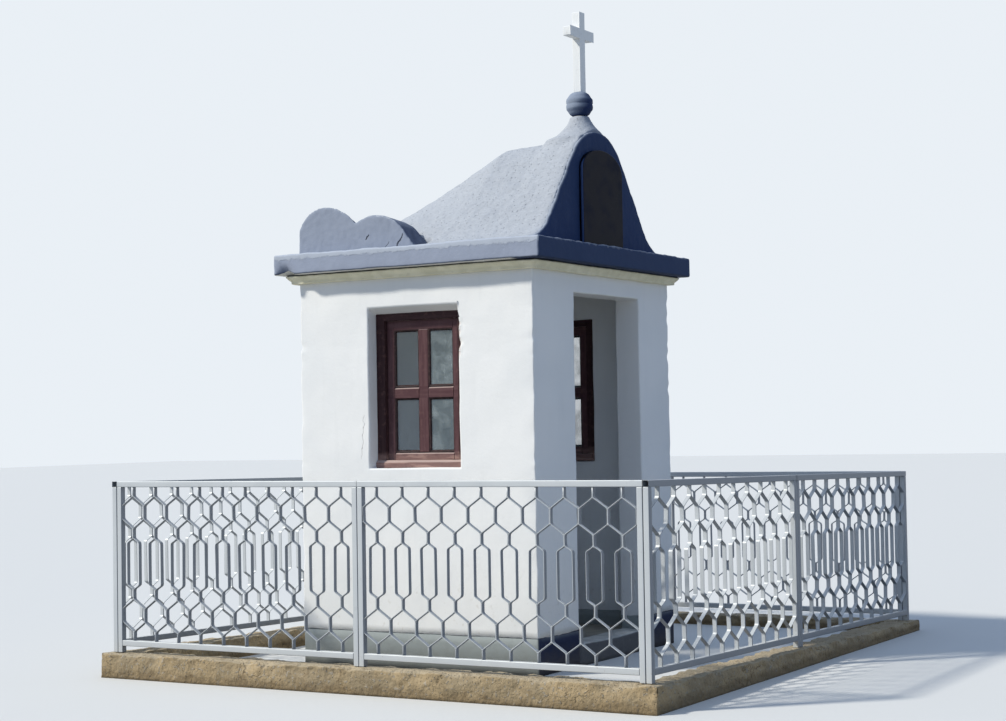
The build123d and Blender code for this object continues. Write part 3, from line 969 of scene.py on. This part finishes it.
def roof_paint(shade):
    colour, roughness, relief = masonry_paint(shade, (170, 175, 183), (118, 127, 146))
    place = shade.node("ShaderNodeTexCoord", {}, "Object")
    turn = {"Vector": place, "Rotation": (0.6, 0.2, 0), "Scale": (1, 0.3, 1)}
    turned = shade.node("ShaderNodeMapping", turn)
    combed = shade.node("ShaderNodeTexNoise", {"Vector": turned, "Scale": 70, "Detail": 5})
    pits = step(grain(shade, 0.014, 3), 0.64, 0.72)
    sand = grain(shade, 0.008, 3)
    dirt = step(grain(shade, 0.13, 6), 0.50, 0.74)
    colour = coat(colour, (dirt * 0.22, 146, 152, 164), (step(combed, 0.50, 0.66) * 0.16, 196, 202, 210),
                  (pits * 0.38, 118, 124, 138), (step(sand, 0.52, 0.70) * 0.16, 132, 136, 146))
    relief = grain(shade, 0.035, 5) * 0.0055 + combed * 0.004 + sand * 0.0012 - pits * 0.004
    return colour, roughness, relief


def step_between(value, low, high):
    """0 up to low, 1 from high, and even between."""
    return min(1, max(0, (value - low) / (high - low)))


def ripple(place):
    """Move a point of the gable's trowelled outline in and out by a few millimetres."""
    wander = noise.noise(Vector((0.3, 0.7, place.z / 0.075)))
    wander = wander + 0.5 * noise.noise(Vector((0.9, 0.1, place.z / 0.030)))
    return place - Vector((place.x * 0.013 * wander, 0, 0))


roof_low, roof_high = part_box("roof_body")
gable_front, gable_back = (corner.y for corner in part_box("front_gable"))
roof_sag = 0.024
roof_grid = 0.012
bedded = 0.04
tongue_front = gable_front + 0.016
tongue_back = gable_back + 0.012
tongue_rise = 0.002

# The roof runs on inside the gable's wall, a little higher, so that no gap opens between them.
tongue = cast("front_gable")
for point in tongue.verts:
    point.co.y = tongue_back if point.co.y > gable_back - 0.01 else tongue_front
    point.co.z += tongue_rise if point.co.z > slab_top + 0.01 else -bedded
roof = cast("roof_body")
join(roof, tongue)
block((roof_low.x, gable_back, slab_top - bedded), (roof_high.x, roof_high.y, slab_top + 0.001), roof)
roof = trowelled(roof, roof_grid)
for point in roof.verts:
    share = (point.co.y - gable_back) / (roof_high.y - gable_back)
    if 0 < share < 1:
        point.co.z -= roof_sag * sin(pi * share) * min(1, max(0, point.co.z - slab_top) / 0.4)
even = [point.co.copy() for point in roof.verts]
push(roof, (0.0060, 0.30, 1), (0.0035, 0.07, 3), (0.0024, 0.028, 5))
for point, flat in zip(roof.verts, even):
    away = step_between(point.co.y, gable_front + 0.03, gable_back + 0.12)
    point.co = ripple(flat).lerp(point.co, away)
piece("roof_cement", roof, finish(roof_paint), "roof_cement", "roof_body")

# Gable: a bell-shaped wall that stands on the slab over the door, painted blue-grey and drawn dark
# on its face partly as painted shade, with a bare tablet of dark polished stone bedded on its face.


def gable_paint(shade):
    # The dark colour for faces turned from the lamp is partly painted shade.
    colour, roughness, relief = masonry_paint(shade, (164, 171, 183), (44, 60, 94))
    brushed = step(grain(shade, 0.06, 4, (1, 1, 0.3)), 0.45, 0.75)
    return coat(colour, (brushed * 0.08, 96, 108, 134)), roughness, relief


def tablet_stone(shade):
    fleck = step(grain(shade, 0.004, 2), 0.66, 0.72)
    haze = step(grain(shade, 0.10, 5), 0.45, 0.75)
    edge = step(abs(facing(shade, "X")), 0.6, 0.9)
    colour = mix(haze, tint(19, 22, 34), tint(27, 31, 45))
    colour = coat(colour, (fleck * 0.25, 70, 72, 82), (edge, 72, 90, 130))
    return colour, 0.42 + haze * 0.20, fleck * 0.0002 + grain(shade, 0.01) * 0.0002


gable_axis = (roof_low.x + roof_high.x) / 2
gable_inset = 0.997
gable_grid = 0.011
gable = trowelled(cast("front_gable"), gable_grid)
for point in gable.verts:
    point.co.x = gable_axis + gable_inset * (point.co.x - gable_axis)
    point.co.z -= 0.004 * step_between(point.co.z, slab_top + 0.05, slab_top + 0.20)
    point.co = ripple(point.co)
push(gable, (0.0030, 0.20, 1), (0.0014, 0.04, 3))
piece("bell_gable", gable, finish(gable_paint, gloss=0.1), "gable_paint", "front_gable")

tablet_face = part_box("gable_tablet")[0].y
tablet_round = 0.005
tablet = cast("gable_tablet")
bmesh.ops.dissolve_limit(tablet, angle_limit=0.02, verts=tablet.verts, edges=tablet.edges)
soften(tablet, tablet_round, lambda edge: min(point.co.y for point in edge.verts) > tablet_face + 0.001)
piece("bare_tablet", tablet, finish(tablet_stone, gloss=0.05), "tablet_stone", "gable_tablet")

# Parapets: low lobed walls of rendered brick over the back half of each side. The paint is frayed
# along the arrises and three short cracks open it on the window side.


def parapet_paint(shade):
    colour, roughness, relief = masonry_paint(shade, (148, 156, 172), (52, 62, 88))
    frayed = step(grain(shade, 0.020, 5), 0.45, 0.62) * step(facing(shade, "Z"), 0.25, 0.6)
    frayed = frayed * step(0.0 - facing(shade, "X"), 0.1, 0.4)
    crack = sum(scratch(shade, *place) for place in parapet_cracks)
    colour = coat(colour, (frayed * 0.6, 196, 200, 204), (crack * 0.85, 38, 42, 54))
    return colour, roughness, relief - crack * 0.005


parapet_cracks = [((0.323, 2.690), (0.378, 2.604), 0.0055), ((0.430, 2.648), (0.458, 2.603), 0.0030),
                  ((0.588, 2.700), (0.610, 2.662), 0.0045)]
parapet_grid = 0.010
worn_band = 0.02
parapet_finish = finish(parapet_paint, gloss=0.1)
for side in ("left", "right"):
    node = "parapet_" + side
    low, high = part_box(node)
    lobed = cast(node)
    block((low.x, low.y, slab_top - bedded), (high.x, high.y, slab_top + 0.001), lobed)
    lobed = trowelled(lobed, parapet_grid)
    for point in lobed.verts:
        rough = max(0, noise.noise(point.co / 0.05))
        edge = min(point.co.x - low.x, high.x - point.co.x)
        if edge < worn_band and point.co.z > slab_top + 0.05:
            point.co.z -= 0.010 * rough * (1 - edge / worn_band)
    push(lobed, (0.0035, 0.18, 6), (0.0018, 0.035, 8))
    piece("lobed_" + node, lobed, parapet_finish, "parapet_render", node)

# Ball: cement shaped by hand over the neck of the roof, with a groove round its middle, flat at
# its foot and top, painted like the gable.


def ball_paint(shade):
    colour, roughness, relief = masonry_paint(shade, (140, 150, 167), (42, 56, 90))
    bare = step(grain(shade, 0.012), 0.66, 0.76)
    return coat(colour, (bare * 0.2, 178, 184, 194)), roughness, relief


ball_low, ball_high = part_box("finial_ball")
axis_x = (ball_low.x + ball_high.x) / 2
axis_y = (ball_low.y + ball_high.y) / 2
ball_radius = (ball_high.x - ball_low.x) / 2
ball_half = (ball_high.z - ball_low.z) / 2
ball_mid = (ball_low.z + ball_high.z) / 2
upper_half = [(0.955, 0.04), (0.985, 0.10), (0.99, 0.30), (0.965, 0.44), (0.86, 0.58), (0.80, 0.70),
              (0.72, 0.84), (0.56, 0.97), (0.40, 1.00)]
ball_profile = [(share, -level) for share, level in reversed(upper_half)] + upper_half
rounds = 40

loops = []
for share, level in ball_profile:
    loop = []
    for i in range(rounds):
        angle = 2 * pi * i / rounds
        out = ball_radius * share
        loop.append((axis_x + out * cos(angle), axis_y + out * sin(angle), ball_mid + ball_half * level))
    loops.append(loop)
ball = skin(bmesh.new(), loops)
push(ball, (0.0016, 0.06, 1), (0.0009, 0.02, 4))
piece("cement_ball", ball, finish(ball_paint, gloss=0.1), "finial_stone", "finial_ball")

# Cross: two square bars halved together and set in the top of the ball, painted white with a
# brush and worn in patches.


def cross_paint(shade):
    brushed = grain(shade, 0.010, 4, (1, 1, 0.15))
    worn = step(grain(shade, 0.030, 5), 0.60, 0.72)
    colour = mix(brushed, tint(228, 230, 231), tint(240, 241, 240))
    colour = coat(colour, (worn * 0.3, 196, 192, 186))
    return colour, 0.55 + worn * 0.3, brushed * 0.0005 - worn * 0.0003


cross_low, cross_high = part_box("cross")
half = (cross_high.y - cross_low.y) / 2
arm_at = cross_high.z - 0.140
cross_round = 0.004
left, right = axis_x - half, axis_x + half
under, over = arm_at - half, arm_at + half
outline = [(left, cross_low.z), (right, cross_low.z), (right, under), (cross_high.x, under),
           (cross_high.x, over), (right, over), (right, cross_high.z), (left, cross_high.z),
           (left, over), (cross_low.x, over), (cross_low.x, under), (left, under)]
cross = soften(prism(outline, 1, cross_low.y, cross_high.y), cross_round)
cut_up(cross, fine_grid)
push(cross, (0.0010, 0.05, 0))
for point in cross.verts:
    point.co.z = min(point.co.z, cross_high.z)
piece("white_cross", cross, finish(cross_paint), "cross_paint", "cross")

# Studio: a pale floor, a pale sky and one soft lamp, behind on the window side. What the camera,
# gloss and glass see of floor and sky is paler than the light that they give.


def seen(shade):
    """1 where the camera, gloss or glass looks, 0 where the surface gives light."""
    kinds = ("Camera", "Glossy", "Transmission")
    return sum(shade.node("ShaderNodeLightPath", {}, f"Is {kind} Ray") for kind in kinds)


def studio_floor(shade):
    brushed = grain(shade, 0.5)
    colour = mix(seen(shade), tint(150, 148, 140), tint(214, 214, 212))
    return colour, 0.85 + brushed * 0.10, brushed * 0.0004


floor_half = 60
floor_mesh = bpy.data.meshes.new("studio_floor")
corners = [(x * floor_half, y * floor_half, 0) for x, y in ((-1, -1), (1, -1), (1, 1), (-1, 1))]
floor_mesh.from_pydata(corners, [], [(0, 1, 2, 3)])
floor_mesh.materials.append(finish(studio_floor))
floor = bpy.data.objects.new("studio_floor", floor_mesh)
scene.collection.objects.link(floor)

world = bpy.data.worlds.new("studio")
scene.world = world
world.use_nodes = True
sky = Shade(world.node_tree)
sky_colour = mix(seen(sky), (0.27, 0.37, 0.55, 1), (0.82, 0.87, 0.92, 1))
sky.tree.links.new(sky_colour.socket, sky.tree.nodes["Background"].inputs["Color"])
lamp = bpy.data.objects.new("key", bpy.data.lights.new("key", "SUN"))
lamp.data.energy = 3.6
lamp.data.angle = radians(5)
lamp.data.color = (1.0, 0.96, 0.86)
lamp.rotation_euler = (radians(49.4), 0, radians(-138))
scene.collection.objects.link(lamp)

# View: the photograph's corner view, from eye height on the window side, with a long lens
# shifted sideways. Colours are shown without a film curve.

camera = bpy.data.objects.new("camera", bpy.data.cameras.new("camera"))
scene.collection.objects.link(camera)
camera.data.sensor_width = 36
camera.data.lens = 63.2
camera.data.shift_x = -0.15
camera.location = (-9.846, -6.209, 1.480)
camera.rotation_euler = [radians(angle) for angle in (92.04, 1.133, -61.63)]
scene.camera = camera
scene.view_settings.view_transform = "Standard"
